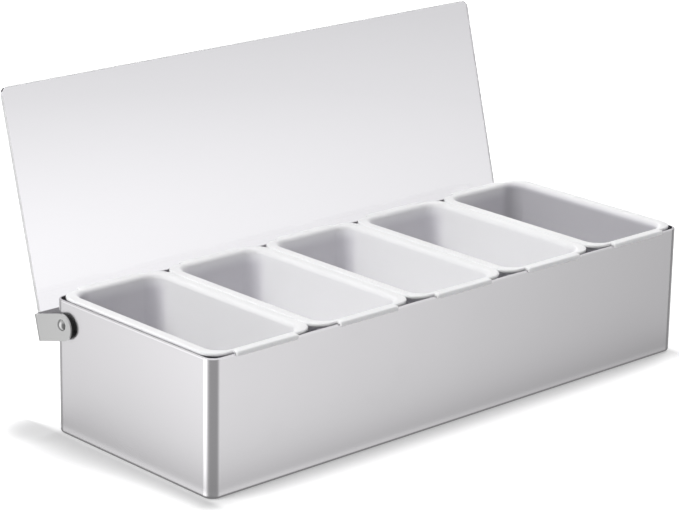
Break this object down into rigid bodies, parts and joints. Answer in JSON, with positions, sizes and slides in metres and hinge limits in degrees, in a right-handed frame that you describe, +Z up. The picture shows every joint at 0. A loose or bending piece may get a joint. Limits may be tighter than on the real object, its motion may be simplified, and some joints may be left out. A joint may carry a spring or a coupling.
{
  "type": "condiment caddy",
  "caption": "Long open-top steel caddy with white lift-out inserts hung on its hemmed rim and a flat clear lid on friction hinges at its ends.",
  "frame": {"origin": "centre of the box's underside, on the surface that it stands on", "axes": "+X along the length, to the right seen from the front; +Y towards the hinged back edge; +Z up"},
  "size_m": [0.4942, 0.2443, 0.2453],
  "materials": {
    "box_steel": "satin stainless sheet with a fine lengthwise grain",
    "hinge_steel": "satin stainless strip, fine grain along the strip",
    "rivet_steel": "bright polished stainless",
    "insert_plastic": "smooth white, half gloss",
    "lid_plastic": "clear, glossy on both faces, brighter at the cut edges",
    "pad_rubber": "black, matt"
  },
  "bodies": {
    "caddy": {"box": "box_steel", "insert_1": "insert_plastic", "insert_2": "insert_plastic", "insert_3": "insert_plastic", "insert_4": "insert_plastic", "insert_5": "insert_plastic", "hinge_rivet_left": "rivet_steel", "hinge_rivet_right": "rivet_steel"},
    "lid": {"lid": "lid_plastic", "hinge_strip": "hinge_steel", "lid_rivets": "rivet_steel", "hinge_pad_left": "pad_rubber", "hinge_pad_right": "pad_rubber"}
  },
  "joints": [
    {"name": "lid_hinge", "type": "hinge", "parent": "caddy", "child": "lid", "pos_m": [0, 0.0745, 0.086], "axis": [1, 0, 0], "range_deg": [-32, 110]}
  ]
}
